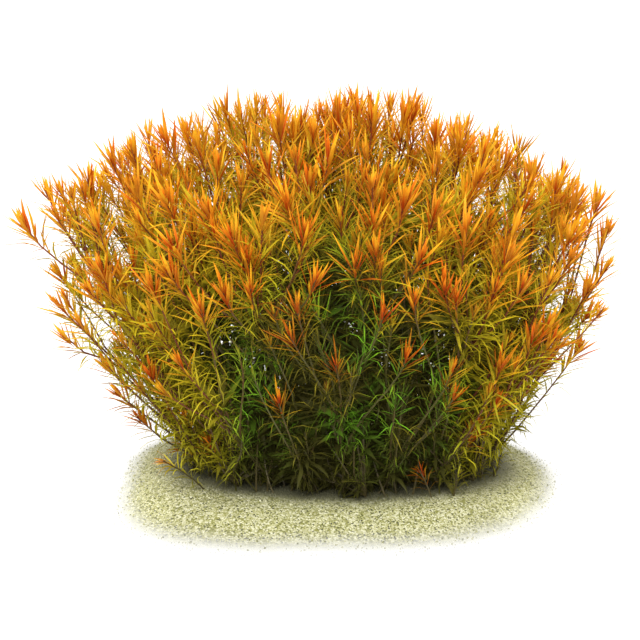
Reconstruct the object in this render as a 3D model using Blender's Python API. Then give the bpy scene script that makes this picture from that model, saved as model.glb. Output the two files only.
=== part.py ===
"""A bush of rotala, an aquarium stem plant, rooted in a low bed of pale sand.

The bed is one solid with a socket for each stem. Each planted stem is one solid: a bare foot in
its socket, then a body whose whorls of leaf points widen to a crown at the bush's domed outside.
The stems fan out from an oval patch, so the bush is narrow at the sand and wide at the top.
Metres, +Z up, +X to the right, the front faces -Y. The origin is on the bed's underside, below the
middle of the planted patch.
"""

import math
import random

import bpy
import bmesh
from mathutils import Vector

# The bed of sand
BED_HALF_WIDTH = 0.123
BED_HALF_DEPTH = 0.112
BED_CENTRE_X = -0.005
BED_CENTRE_Y = 0.008
BED_SQUARENESS = 2.6
BED_THICKNESS = 0.015
BED_EDGE = 0.003
BED_FLATNESS = 5
BED_RING_SHARES = (0.35, 0.6, 0.78, 0.92, 1.0)
BED_SIDES = 30
BED_FOOT_MARGIN = 0.003
BED_WAVES = ((2, 0.015, 0.4), (3, 0.022, 1.9), (5, 0.016, 0.7))

# The planted patch and the dome that the stems' tips reach
STEM_COUNT = 56
PATCH_HALF_WIDTH = 0.087
PATCH_HALF_DEPTH = 0.054
DOME_RADIUS = 0.210
DOME_SHOULDER = 0.024
SKIRT_RADIUS = 0.084
SKIRT_FROM = math.radians(40)
SKIRT_TO = math.radians(80)
SIDE_SWELL = 0.10
SWELL_LEAN = math.radians(60)
SWELL_SPAN = math.radians(8)
WIDEST_LEAN = math.radians(79)
LEAN_POWER = 1.2
DOME_DEPTH_SHARE = 0.74
CROWN_SHIFT_X = -0.014
FIRST_AZIMUTH = math.radians(105)
GOLDEN_ANGLE = math.pi * (3 - math.sqrt(5))

# How far a stem strays from the even fan
LAYOUT_SEED = 12
ROOT_STRAY = 0.0025
AZIMUTH_STRAY = math.radians(5)
LEAN_STRAY = math.radians(2.5)
LEAST_REACH = 0.93
MOST_REACH = 1.03
STEM_SAG = 0.07

# One stem
FOOT_RADIUS = 0.0012
FOOT_DEPTH = 0.0055
SOCKET_RADIUS = 0.0019
SOCKET_DEPTH = 0.0060
SOCKET_SIDES = 6
LEAF_POINTS = 4
WHORL_SHARES = (0.17, 0.31, 0.46, 0.61, 0.76, 0.90)
NOTCH_SHARE = 0.42
WHORL_LIFT = 0.10
CROWN_NOTCH = 0.93
REACH_AT_FOOT = 0.010
REACH_AT_CROWN = 0.027
SPACE_SHARE = 0.455
LEAST_LEAF_REACH = 0.0022
GROUND_GAP = 0.0012
AXIS_STEPS = 24

# Finishes: base colour and roughness
SAND_FINISH = ((0.56, 0.54, 0.32), 0.9)
ORANGE_FINISH = ((0.62, 0.20, 0.02), 0.5)
GOLD_FINISH = ((0.50, 0.27, 0.03), 0.5)
GREEN_FINISH = ((0.20, 0.22, 0.03), 0.5)
GOLD_FROM = math.radians(34)
GREEN_FROM = math.radians(62)


def mix(a, b, share):
    return a + (b - a) * share


def smooth(share):
    share = min(max(share, 0.0), 1.0)
    return share * share * (3 - 2 * share)


def bed_outline(angle):
    """The bed's radius as a share of its oval: the corners are filled and the edge wanders a little."""
    corners = abs(math.cos(angle)) ** BED_SQUARENESS + abs(math.sin(angle)) ** BED_SQUARENESS
    waves = 1 + sum(size * math.sin(count * angle + start) for count, size, start in BED_WAVES)
    return waves / corners ** (1 / BED_SQUARENESS)


def bed_point(share, angle):
    """A place over the bed, by its share of the way from the middle to the edge."""
    reach = share * bed_outline(angle)
    return Vector((
        BED_CENTRE_X + BED_HALF_WIDTH * reach * math.cos(angle),
        BED_CENTRE_Y + BED_HALF_DEPTH * reach * math.sin(angle),
        BED_EDGE + (BED_THICKNESS - BED_EDGE) * (1 - share**BED_FLATNESS),
    ))


def sand_height(x, y):
    """How high the sand stands at a place, or 0 outside the bed."""
    across = (x - BED_CENTRE_X) / BED_HALF_WIDTH
    along = (y - BED_CENTRE_Y) / BED_HALF_DEPTH
    angle = math.atan2(along, across)
    share = math.hypot(across, along) / bed_outline(angle)
    return bed_point(share, angle).z if share < 1 else 0.0


def dome_reach(lean):
    """The distance from the patch's middle to the dome, for a stem that leans this far from upright."""
    shoulder = DOME_RADIUS + DOME_SHOULDER * math.sin(lean) ** 2
    skirt = smooth((lean - SKIRT_FROM) / (SKIRT_TO - SKIRT_FROM))
    return mix(shoulder, SKIRT_RADIUS, skirt)


def side_swell(lean, azimuth):
    """How much further the bush reaches out here: it bulges on its left and right above the skirt."""
    return 1 + SIDE_SWELL * math.exp(-(((lean - SWELL_LEAN) / SWELL_SPAN) ** 2)) * abs(math.cos(azimuth))


def stem_ends(number, stray):
    """The lean, the root on the sand and the tip of one stem of the fan."""
    spread = math.sqrt((number + 0.5) / STEM_COUNT)
    azimuth = FIRST_AZIMUTH + number * GOLDEN_ANGLE
    root_x = PATCH_HALF_WIDTH * spread * math.cos(azimuth) + stray.uniform(-ROOT_STRAY, ROOT_STRAY)
    root_y = PATCH_HALF_DEPTH * spread * math.sin(azimuth) + stray.uniform(-ROOT_STRAY, ROOT_STRAY)
    azimuth += stray.uniform(-AZIMUTH_STRAY, AZIMUTH_STRAY)
    lean = WIDEST_LEAN * spread**LEAN_POWER + stray.uniform(-LEAN_STRAY, LEAN_STRAY)
    reach = dome_reach(lean) * side_swell(lean, azimuth) * stray.uniform(LEAST_REACH, MOST_REACH)
    rise = reach * math.cos(lean)
    tip = Vector((
        reach * math.sin(lean) * math.cos(azimuth) + CROWN_SHIFT_X * rise / DOME_RADIUS,
        reach * math.sin(lean) * math.sin(azimuth) * DOME_DEPTH_SHARE,
        rise + BED_THICKNESS,
    ))
    return lean, Vector((root_x, root_y, sand_height(root_x, root_y))), tip


class StemAxis:
    """The centre line of a stem, from the sand's surface at 0 to the tip at 1: it sags, then turns up."""

    def __init__(self, number, lean, root, tip):
        self.number = number
        self.lean = lean
        self.root = root
        self.tip = tip
        self.bend = (root + tip) / 2 - Vector((0, 0, STEM_SAG * (tip - root).length * math.sin(lean)))
        self.side = Vector((-(tip - root).y, (tip - root).x, 0)).normalized()

    def at(self, share):
        rest = 1 - share
        return self.root * rest * rest + self.bend * 2 * rest * share + self.tip * share * share

    def direction(self, share):
        return ((self.bend - self.root) * (1 - share) + (self.tip - self.bend) * share).normalized()

    def ring_point(self, share, radius, angle):
        """A point at this distance from the axis, in the plane square to it."""
        outward = self.side.cross(self.direction(share))
        return self.at(share) + (self.side * math.cos(angle) + outward * math.sin(angle)) * radius


def plan_stems():
    stray = random.Random(LAYOUT_SEED)
    return [StemAxis(number, *stem_ends(number, stray)) for number in range(STEM_COUNT)]


def free_reach(stem, share, stems):
    """The most that a leaf point may stand out here and stay clear of the other stems and the sand."""
    place = stem.at(share)
    nearest = min(
        (place - other.at(step / AXIS_STEPS)).length
        for other in stems
        if other is not stem
        for step in range(AXIS_STEPS + 1)
    )
    height = place.z - sand_height(place.x, place.y) - GROUND_GAP
    wanted = mix(REACH_AT_FOOT, REACH_AT_CROWN, smooth(share))
    return max(min(wanted, SPACE_SHARE * nearest, height), LEAST_LEAF_REACH)


def new_object(name, mesh, finish):
    obj = bpy.data.objects.new(name, mesh)
    obj.data.materials.append(finish)
    bpy.data.collections["rotala"].objects.link(obj)
    return obj


def finish_material(name, finish):
    colour, roughness = finish
    material = bpy.data.materials.new(name)
    material.use_nodes = True
    shader = material.node_tree.nodes["Principled BSDF"]
    shader.inputs["Base Color"].default_value = (*colour, 1)
    shader.inputs["Roughness"].default_value = roughness
    shader.inputs["Metallic"].default_value = 0
    return material


def loft(rings, cap_point):
    """A closed mesh through rings of equal count, with a flat cap on the first and a fan to cap_point on the last."""
    shape = bmesh.new()
    loops = [[shape.verts.new(point) for point in ring] for ring in rings]
    count = len(loops[0])
    shape.faces.new(reversed(loops[0]))
    for low, high in zip(loops, loops[1:]):
        for i in range(count):
            j = (i + 1) % count
            shape.faces.new((low[i], low[j], high[j], high[i]))
    top = shape.verts.new(cap_point)
    for i in range(count):
        shape.faces.new((loops[-1][i], loops[-1][(i + 1) % count], top))
    bmesh.ops.triangulate(shape, faces=shape.faces)
    bmesh.ops.recalc_face_normals(shape, faces=shape.faces)
    return shape


def to_mesh(shape, name):
    mesh = bpy.data.meshes.new(name)
    shape.to_mesh(mesh)
    shape.free()
    return mesh


def foot_rings(stem):
    """Two equal rings, at the foot's end in the socket and just over the sand, so the foot is straight."""
    down = -stem.direction(0)
    angles = [math.pi * i / LEAF_POINTS for i in range(2 * LEAF_POINTS)]
    surface = [stem.ring_point(0, FOOT_RADIUS, angle) for angle in angles]
    return [[point + down * FOOT_DEPTH for point in surface], [point - down * FOOT_RADIUS for point in surface]]


def whorl_ring(stem, share, turned, stems):
    """A ring whose points lie in turn on the leaf tips, which sweep up, and in the notches between them."""
    tip_share = min(share + WHORL_LIFT, 1.0)
    tip_reach = free_reach(stem, tip_share, stems)
    notch_reach = min(tip_reach, free_reach(stem, share, stems)) * NOTCH_SHARE
    ring = []
    for i in range(2 * LEAF_POINTS):
        angle = math.pi * i / LEAF_POINTS
        if (i + turned) % 2:
            ring.append(stem.ring_point(tip_share, tip_reach, angle))
        else:
            ring.append(stem.ring_point(share, notch_reach, angle))
    return ring


def make_stem(stem, stems, finish):
    """One planted stem: foot, whorls of leaf points that point the other way in turn, and the crown."""
    rings = foot_rings(stem)
    for turned, share in enumerate(WHORL_SHARES):
        rings.append(whorl_ring(stem, share, turned, stems))
    crown_reach = free_reach(stem, CROWN_NOTCH, stems) * NOTCH_SHARE
    rings.append([
        stem.ring_point(CROWN_NOTCH, crown_reach, math.pi * i / LEAF_POINTS) for i in range(2 * LEAF_POINTS)
    ])
    name = f"leafy_stem_{stem.number + 1:02d}"
    return new_object(name, to_mesh(loft(rings, stem.tip), name), finish)


def bed_solid():
    """The sand without its sockets: a low mound with a flat underside."""
    angles = [2 * math.pi * i / BED_SIDES for i in range(BED_SIDES)]
    foot = 1 + BED_FOOT_MARGIN / BED_HALF_WIDTH
    underside = [bed_point(foot, angle) for angle in angles]
    for point in underside:
        point.z = 0
    rings = [underside] + [[bed_point(share, angle) for angle in angles] for share in reversed(BED_RING_SHARES)]
    return to_mesh(loft(rings, bed_point(0, 0)), "sand_bed")


def socket_cutters(stems):
    """One helper mesh with a prism along the foot of each stem."""
    cutters = bmesh.new()
    length = 2 * SOCKET_DEPTH
    for stem in stems:
        aim = stem.direction(0)
        prism = bmesh.ops.create_cone(
            cutters, cap_ends=True, segments=SOCKET_SIDES, radius1=SOCKET_RADIUS, radius2=SOCKET_RADIUS, depth=length
        )
        bmesh.ops.rotate(cutters, verts=prism["verts"], matrix=aim.to_track_quat("Z", "Y").to_matrix())
        bmesh.ops.translate(cutters, verts=prism["verts"], vec=stem.root + aim * (length / 2 - SOCKET_DEPTH))
    helper = bpy.data.objects.new("socket_cutters", to_mesh(cutters, "socket_cutters"))
    helper.hide_render = True
    helper.display_type = "WIRE"
    bpy.data.collections["cutters"].objects.link(helper)
    return helper


def make_bed(stems, finish):
    bed = new_object("sand_bed", bed_solid(), finish)
    sockets = bed.modifiers.new("sockets", "BOOLEAN")
    sockets.operation = "DIFFERENCE"
    sockets.object = socket_cutters(stems)
    return bed


def clear_scene():
    for obj in list(bpy.data.objects):
        bpy.data.objects.remove(obj)
    for name in ("rotala", "cutters"):
        bpy.context.scene.collection.children.link(bpy.data.collections.new(name))


def leaf_finish(stem, finishes):
    """The upright stems at the top of the bush are orange, the sides gold and the low skirt green."""
    if stem.lean < GOLD_FROM:
        return finishes["orange"]
    return finishes["gold"] if stem.lean < GREEN_FROM else finishes["green"]


def main():
    clear_scene()
    finishes = {
        "orange": finish_material("orange_leaves", ORANGE_FINISH),
        "gold": finish_material("gold_leaves", GOLD_FINISH),
        "green": finish_material("green_leaves", GREEN_FINISH),
    }
    stems = plan_stems()
    make_bed(stems, finish_material("sand", SAND_FINISH))
    for stem in stems:
        make_stem(stem, stems, leaf_finish(stem, finishes))


main()
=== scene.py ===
# %% [markdown]
# # A bush of rotala, leaf by leaf
# Rotala is an aquarium stem plant. Dozens of thin stems stand close together in sand, branch into
# side shoots and fan out into a dome. Each shoot ends in a rosette of young orange leaves.
# This lesson grows the bush from a few rules: where the stems stand, how they fan out, how leaves
# are set in whorls round a shoot, and how a leaf's age and its light decide its colour.

# %% Load the frame
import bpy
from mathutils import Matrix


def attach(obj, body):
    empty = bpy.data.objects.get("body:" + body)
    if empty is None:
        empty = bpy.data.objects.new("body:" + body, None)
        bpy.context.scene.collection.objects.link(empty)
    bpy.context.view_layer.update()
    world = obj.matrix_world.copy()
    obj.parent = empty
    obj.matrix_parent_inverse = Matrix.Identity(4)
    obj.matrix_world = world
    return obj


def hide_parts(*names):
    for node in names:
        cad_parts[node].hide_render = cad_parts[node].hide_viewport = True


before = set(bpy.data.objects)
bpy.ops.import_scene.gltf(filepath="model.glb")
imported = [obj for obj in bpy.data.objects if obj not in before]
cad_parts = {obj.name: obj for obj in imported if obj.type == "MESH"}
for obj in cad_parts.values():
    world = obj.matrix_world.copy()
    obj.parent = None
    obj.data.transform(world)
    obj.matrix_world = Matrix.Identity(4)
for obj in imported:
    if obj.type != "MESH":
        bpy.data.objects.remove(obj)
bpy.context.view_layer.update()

# %% [markdown]
# ## Tools of this lesson
# A bush has tens of thousands of leaves, far too many to place with Blender's own operators.
# numpy works them out in bulk, and bpy gets the finished arrays.

# %% Tools
import math
import random

import bpy
import numpy as np
from mathutils import Vector

print("Blender", bpy.app.version_string, "with numpy", np.__version__)

# %% [markdown]
# ## The camera
# The picture looks down on the bush at about fifteen degrees, from about a metre. A 100 mm lens
# on Blender's 36 mm sensor gives the photo's narrow view at that distance, so the near leaves
# aren't swollen. The camera aims at a point inside the bush, a little to the left of its roots.

# %% Camera
CAMERA_ELEVATION = math.radians(15)
CAMERA_DISTANCE = 1.0
CAMERA_LENS_MM = 100.4
CAMERA_AIM = Vector((-0.0123, 0.0, 0.100))


def add_camera():
    camera = bpy.data.objects.new("camera", bpy.data.cameras.new("camera"))
    back = Vector((0, -math.cos(CAMERA_ELEVATION), math.sin(CAMERA_ELEVATION)))
    camera.data.lens = CAMERA_LENS_MM
    camera.location = CAMERA_AIM + back * CAMERA_DISTANCE
    camera.rotation_euler = back.to_track_quat("Z", "Y").to_euler()
    bpy.context.scene.collection.objects.link(camera)
    bpy.context.scene.camera = camera
    return camera


print("camera at", tuple(round(value, 3) for value in add_camera().location))

# %% [markdown]
# ## Light and floor
# The plant stands on plain white in even light. A sun keeps the floor equally bright all the way
# to the horizon, which a lamp near the bush wouldn't. Its wide disc makes the shadows soft. It
# stands in front, to the left and high, and a pale sky fills the shadows. A floor that is only lit
# would be grey, or need so much light that the leaves wash out, so this one also glows.

# %% Light and floor
SKY_COLOUR = (1.0, 0.985, 0.955, 1)
SKY_STRENGTH = 1.03
SUN_STRENGTH = 4.3
SUN_DISC = math.radians(36)
SUN_FROM = Vector((-0.16, -0.84, 1.0))
FLOOR_REACH = 14.0
FLOOR_CORNERS = 96
FLOOR_PAINT = {
    "Base Color": (0.30, 0.30, 0.297, 1),
    "Roughness": 0.9,
    "Specular IOR Level": 0.1,
    "Emission Color": (1, 1, 1, 1),
    "Emission Strength": 0.86,
}


def add_sky():
    world = bpy.data.worlds.new("pale_sky")
    world.use_nodes = True
    sky = world.node_tree.nodes["Background"]
    sky.inputs["Color"].default_value = SKY_COLOUR
    sky.inputs["Strength"].default_value = SKY_STRENGTH
    bpy.context.scene.world = world


def add_sun():
    sun = bpy.data.objects.new("sun", bpy.data.lights.new("sun", "SUN"))
    sun.data.energy = SUN_STRENGTH
    sun.data.angle = SUN_DISC
    sun.rotation_euler = SUN_FROM.to_track_quat("Z", "Y").to_euler()
    bpy.context.scene.collection.objects.link(sun)


def add_floor():
    bpy.ops.mesh.primitive_circle_add(vertices=FLOOR_CORNERS, radius=FLOOR_REACH, fill_type="NGON")
    floor = bpy.context.object
    floor.name = "floor"
    floor.location = (0, 0, 0)
    paint = bpy.data.materials.new("floor_paint")
    paint.use_nodes = True
    for name, value in FLOOR_PAINT.items():
        paint.node_tree.nodes["Principled BSDF"].inputs[name].default_value = value
    floor.data.materials.append(paint)


add_sky()
add_sun()
add_floor()
bpy.context.scene.view_settings.view_transform = "Standard"
print("floor of", FLOOR_REACH, "m and a sun of", SUN_STRENGTH)

# %% [markdown]
# ## Shader maths as Python
# A finish is easier to read as a sum than as a picture of wires. A `Wire` stands for one output
# socket, and each sign in a sum adds a Math node.


# %% Wires
class Wire:
    """One output socket of a finish. Python's arithmetic on it adds Math nodes."""

    def __init__(self, finish, socket):
        self.finish = finish
        self.socket = socket

    def maths(self, operation, *values):
        return self.finish.node("ShaderNodeMath", {"operation": operation}, dict(enumerate(values)))

    def __add__(self, other):
        return self.maths("ADD", self, other)

    def __sub__(self, other):
        return self.maths("SUBTRACT", self, other)

    def __rsub__(self, other):
        return self.maths("SUBTRACT", other, self)

    def __mul__(self, other):
        return self.maths("MULTIPLY", self, other)

    __radd__ = __add__
    __rmul__ = __mul__

    def fraction(self):
        """What is left of this without its whole number."""
        return self.maths("FRACT", self)

    def ramp(self, low, high):
        """0 where this is at low and 1 where it is at high, rising smoothly between them."""
        ends = {"Value": self, "From Min": low, "From Max": high}
        return self.finish.node("ShaderNodeMapRange", {"interpolation_type": "SMOOTHSTEP"}, ends)


print("a wire knows", [name for name in vars(Wire) if not name.startswith("_")])

# %% [markdown]
# ## A finish under construction
# A finish is a material built node by node. `Finish.node` makes a node of any kind: first its
# settings, then the numbers or wires of its sockets. The other methods are short names for the
# nodes that every finish needs. Colours go through Mix and Vector Math, because a Math node would
# turn them grey.

# %% Finishes
MIX_FACTOR, MIX_FIRST, MIX_SECOND, MIX_RESULT = 0, 6, 7, 2


class Finish:
    """A material under construction."""

    def __init__(self, name):
        self.material = bpy.data.materials.new(name)
        self.material.use_nodes = True
        self.tree = self.material.node_tree
        self.tree.nodes.clear()

    def node(self, kind, settings=None, values=None, output=0):
        made = self.tree.nodes.new(kind)
        for name, setting in (settings or {}).items():
            if name == "stops":
                self.set_stops(made.color_ramp, setting)
            else:
                setattr(made, name, setting)
        for name, value in (values or {}).items():
            if isinstance(value, Wire):
                self.tree.links.new(value.socket, made.inputs[name])
            else:
                made.inputs[name].default_value = value
        return Wire(self, made.outputs[output])

    @staticmethod
    def set_stops(colours, stops):
        while len(colours.elements) < len(stops):
            colours.elements.new(0.5)
        for element, (place, colour) in zip(colours.elements, stops):
            element.position = place
            element.color = (*colour, 1)

    def attribute(self, name):
        """A number that the mesh carries at each vertex."""
        return self.node("ShaderNodeAttribute", {"attribute_name": name}, output="Fac")

    def mix(self, share, first, second):
        """The first colour at share 0 and the second at share 1."""
        first, second = [(*c, 1) if isinstance(c, tuple) else c for c in (first, second)]
        sockets = {MIX_FACTOR: share, MIX_FIRST: first, MIX_SECOND: second}
        return self.node("ShaderNodeMix", {"data_type": "RGBA"}, sockets, output=MIX_RESULT)

    def scaled(self, colour, gain):
        """The colour made brighter or darker by a gain."""
        return self.node("ShaderNodeVectorMath", {"operation": "SCALE"}, {"Vector": colour, "Scale": gain})

    def place(self):
        """A point of the surface, in metres from the object's own origin."""
        return self.node("ShaderNodeTexCoord", output="Object")

    def height(self):
        """How high above the floor a point is, in metres."""
        return self.node("ShaderNodeSeparateXYZ", None, {"Vector": self.place()}, output="Z")

    def noise(self, scale, detail=2.0):
        sockets = {"Vector": self.place(), "Scale": scale, "Detail": detail}
        return self.node("ShaderNodeTexNoise", None, sockets)

    def bump(self, height, distance, strength):
        """A fine relief: the height is a number from 0 to 1 and the distance its depth in metres."""
        sockets = {"Height": height, "Distance": distance, "Strength": strength}
        return self.node("ShaderNodeBump", None, sockets)

    def done(self, shader):
        end = self.tree.nodes.new("ShaderNodeOutputMaterial")
        self.tree.links.new(shader.socket, end.inputs["Surface"])
        return self.material


print("a finish knows", [name for name in vars(Finish) if not name.startswith("_")])

# %% [markdown]
# ## The leaves' colour
# Young leaves at a shoot's tip are orange, their bases in the heart of the rosette deep red, and
# the next leaves gold. The deep red is partly the leaves' own colour and partly painted shade.
# Leaves in the shade are green, painted dark as shade, darkest near the sand, and grown ones near
# the sand are limier than those on top. Painting thousands of leaves is out of the question.
# Instead each leaf carries `youth`, `light` and `tone` as numbers on its mesh, `along` runs from
# its base to its point, and one rule turns them into a colour. A few leaves are rusty, and in the
# shade a few clumps are fresh green.

# %% Leaf colours
# Deep red of the rosette's heart, partly the leaves' own colour and partly painted shade.
RED_HEART_AND_SHADE = (0.36, 0.030, 0.004)
YOUNG_ORANGE = (0.78, 0.172, 0.007)
YOUNG_GOLD = (0.84, 0.450, 0.016)
DULL_RUST = (0.30, 0.060, 0.006)
GROWN_GOLD = (0.63, 0.495, 0.018)
GROWN_OLIVE = (0.30, 0.235, 0.012)
LOW_LIME = (0.47, 0.450, 0.022)
LOW_OLIVE = (0.21, 0.198, 0.012)
# Colours of shaded leaves, kept dark as painted shade.
SHADE_GREEN = (0.039, 0.038, 0.008)
SHADE_OLIVE = (0.200, 0.165, 0.016)
FRESH_GREEN = (0.140, 0.460, 0.020)
FOOT_HEIGHTS = (0.018, 0.075)
GOLD_HEIGHTS = (0.035, 0.135)
BRIGHTEST = (0.74, 1.0)
MOTTLE_SCALE = 420.0
CLUMP_SCALE = 26.0
RESHUFFLE = 9.7


def grown_colour(finish, light, tone, mottle):
    """Olive or gold in the light and limier near the sand; green in the shade, painted dark as shade and
    darkest near the sand.
    """
    height = finish.height()
    foot = height.ramp(*FOOT_HEIGHTS)
    low = finish.mix(tone, LOW_OLIVE, LOW_LIME)
    high = finish.mix(tone, GROWN_OLIVE, GROWN_GOLD)
    sunny = finish.mix(height.ramp(*GOLD_HEIGHTS), low, high)
    # Painted shade: the shaded colour is darkest near the sand.
    dim = finish.mix(tone * tone * foot, SHADE_GREEN, SHADE_OLIVE)
    clump = finish.noise(CLUMP_SCALE).ramp(0.46, 0.60) * tone
    shady = finish.mix(clump * foot, dim, FRESH_GREEN)
    return finish.mix((light + (tone - 0.5) * 0.35 + mottle * 0.3).ramp(0.0, 0.9), shady, sunny)


def young_colour(finish, youth, light, tone):
    """Orange to gold, rusty on some leaves, and deep red in the heart of the rosette, partly own colour,
    partly painted shade.
    """
    along = finish.attribute("along")
    bright = light.ramp(*BRIGHTEST)
    chance = (tone * RESHUFFLE).fraction()
    golden = (along * 0.5 + tone * 0.9 + bright * 0.10).ramp(0.32, 1.24)
    rusty = (chance * 0.8 - along * 0.2).ramp(0.20, 0.75) * 0.65
    # Painted shade, with the leaves' own red, at the bases of the young leaves; less where the leaf is
    # bright.
    heart_and_shade = (1.30 - along * 1.4 - tone * 0.3 - bright * 0.08).ramp(0.1, 0.9)
    young = finish.mix(rusty, finish.mix(golden, YOUNG_ORANGE, YOUNG_GOLD), DULL_RUST)
    return finish.mix(heart_and_shade * (youth * 1.5).ramp(0.1, 0.9), young, RED_HEART_AND_SHADE)


def leaf_colour(finish):
    youth, light, tone = [finish.attribute(name) for name in ("youth", "light", "tone")]
    mottle = finish.noise(MOTTLE_SCALE) - 0.5
    still_young = (youth * (0.66 + light * 0.38) + mottle * 0.2).ramp(0.15, 0.65)
    grown = grown_colour(finish, light, tone, mottle)
    return finish.mix(still_young, grown, young_colour(finish, youth, light, tone))


print("a leaf goes from", YOUNG_ORANGE, "to", SHADE_GREEN)

# %% [markdown]
# ## The leaves' skin
# A leaf is a thin, slightly glossy sheet, and light from behind shines through it: a Translucent
# shader is mixed in for that. Its edges are painted paler where it is in the light, a painted
# highlight. What shines through has to be one colour a material, so red, gold, olive and green
# leaves have a finish each. Many thin leaves also pass light on to each other, deep into the bush,
# which takes a renderer more bounces than it has. A faint glow of each leaf's own stands for it:
# painted light.

# %% Leaf finish
# The last colour of each kind is a faint glow, painted light for the light leaves pass on to each other.
LEAF_KINDS = (
    ("red_leaf", (0.94, 0.34, 0.012), 0.30, (0.024, 0.009, 0.001)),
    ("gold_leaf", (1.0, 0.60, 0.02), 0.36, (0.024, 0.015, 0.002)),
    ("olive_leaf", (0.84, 0.76, 0.03), 0.36, (0.012, 0.0105, 0.002)),
    ("green_leaf", (0.16, 0.18, 0.01), 0.20, (0.006, 0.0054, 0.0014)),
)
# Colour of the painted highlight on the leaves' lit edges.
EDGE_HIGHLIGHT_GOLD = (0.94, 0.76, 0.05)
GLOSS_SCALE = 260.0
VEIN_SCALE = 900.0
VEIN_DEPTH = 0.0003


def leaf_finish(name, shine_through, through_share, glimmer):
    finish = Finish(name)
    # Painted highlight: paler edges where the leaf is in the light.
    lit_edge_highlight = finish.attribute("across").ramp(0.45, 1.0) * finish.attribute("light") * 0.26
    surface = {
        "Base Color": finish.mix(lit_edge_highlight, leaf_colour(finish), EDGE_HIGHLIGHT_GOLD),
        "Roughness": finish.noise(GLOSS_SCALE) * 0.22 + 0.29,
        "Normal": finish.bump(finish.noise(VEIN_SCALE), VEIN_DEPTH, 0.35),
        "Specular IOR Level": 0.07,
        # Painted light: a faint glow of the leaf's own.
        "Emission Color": (*glimmer, 1),
        "Emission Strength": 1.0,
    }
    skin = finish.node("ShaderNodeBsdfPrincipled", None, surface)
    through = finish.node("ShaderNodeBsdfTranslucent", None, {"Color": (*shine_through, 1)})
    return finish.done(finish.node("ShaderNodeMixShader", None, {0: through_share, 1: skin, 2: through}))


LEAF_FINISHES = [leaf_finish(*kind) for kind in LEAF_KINDS]
print("leaf finishes:", [material.name for material in LEAF_FINISHES])

# %% [markdown]
# ## The stems' finish
# A rotala's stem is thin and juicy: dark red brown where it gets light, green in the shade and
# drab near the sand, where it is oldest. It is a pixel or two wide in the picture, so a pattern
# that runs along it would be lost. A noise in patches keeps its tone from being flat.

# %% Stem finish
STEM_RED = (0.150, 0.036, 0.014)
STEM_GREEN = (0.085, 0.078, 0.020)
STEM_OLD = (0.060, 0.047, 0.016)
OLD_STEM_HEIGHTS = (0.015, 0.095)
STEM_PATCH_SCALE = 160.0
STEM_BUMP_SCALE = 700.0
STEM_BUMP_DEPTH = 0.0004


def stem_finish():
    finish = Finish("stem_skin")
    patch = finish.noise(STEM_PATCH_SCALE)
    reddish = finish.attribute("light") * 0.7 + finish.attribute("tone") * 0.35 + (patch - 0.5) * 0.5
    fresh = finish.mix(reddish.ramp(0.18, 0.62), STEM_GREEN, STEM_RED)
    surface = {
        "Base Color": finish.mix(finish.height().ramp(*OLD_STEM_HEIGHTS), STEM_OLD, fresh),
        "Roughness": patch * 0.25 + 0.32,
        "Normal": finish.bump(finish.noise(STEM_BUMP_SCALE), STEM_BUMP_DEPTH, 0.4),
        "Specular IOR Level": 0.25,
    }
    return finish.done(finish.node("ShaderNodeBsdfPrincipled", None, surface))


STEM_FINISH = stem_finish()
print("stem finish:", STEM_FINISH.name)

# %% [markdown]
# ## Ramps and blends
# A plant changes gradually: from young to grown, from the sand to the crown, from the middle to
# the edge. Steps would show as rings, and straight slopes have a kink at each end. A ramp rises
# from 0 to 1 between two limits with soft ends, and a blend uses it to go from one value to
# another. A wire's ramp is the same thing in a finish.


# %% Ramps and blends
def ramp(value, low, high):
    """0 where the value is at low and 1 where it is at high, rising smoothly between them."""
    share = np.clip((value - low) / (high - low), 0.0, 1.0)
    return share * share * (3 - 2 * share)


def blend(first, second, share):
    """The first value at share 0 and the second at share 1."""
    return first + (second - first) * share


print("a ramp in quarters:", [round(float(ramp(quarter, 0, 4)), 2) for quarter in range(5)])

# %% [markdown]
# ## The oval of sand
# The bush is planted in a low, squarish oval of sand with a wavy edge. A list of edge points would
# be hard to change, so a formula gives the outline: a rounded square that slow waves push in and
# out. The solids of the frame follow the same formula with the same numbers. With it roots and
# grains can find out where the sand is and how high it stands.

# %% The sand's outline
BED_HALF_WIDTH = 0.123
BED_HALF_DEPTH = 0.112
BED_CENTRE_X = -0.005
BED_CENTRE_Y = 0.008
BED_SQUARENESS = 2.6
BED_THICKNESS = 0.015
BED_EDGE = 0.003
BED_FLATNESS = 5
BED_WAVES = ((2, 0.015, 0.4), (3, 0.022, 1.9), (5, 0.016, 0.7))


def bed_outline(angle):
    corners = np.abs(np.cos(angle)) ** BED_SQUARENESS + np.abs(np.sin(angle)) ** BED_SQUARENESS
    waves = 1 + sum(size * np.sin(count * angle + start) for count, size, start in BED_WAVES)
    return waves / corners ** (1 / BED_SQUARENESS)


def bed_share(x, y):
    """How far out a place is, as a share of the way from the bed's middle to its edge."""
    across = (x - BED_CENTRE_X) / BED_HALF_WIDTH
    along = (y - BED_CENTRE_Y) / BED_HALF_DEPTH
    return np.hypot(across, along) / bed_outline(np.arctan2(along, across))


def bed_place(share, angle):
    """The place that is this share of the way out, in the direction of the angle."""
    reach = share * bed_outline(angle)
    x = BED_CENTRE_X + BED_HALF_WIDTH * reach * np.cos(angle)
    y = BED_CENTRE_Y + BED_HALF_DEPTH * reach * np.sin(angle)
    return x, y


def sand_height(x, y):
    """How high the sand stands at a place."""
    share = bed_share(x, y)
    height = blend(BED_EDGE, BED_THICKNESS, 1 - np.minimum(share, 1.0) ** BED_FLATNESS)
    return np.where(share < 1, height, 0.0)


print("the sand is", round(float(sand_height(0.0, 0.0)) * 1000, 1), "mm high under the bush")

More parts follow.
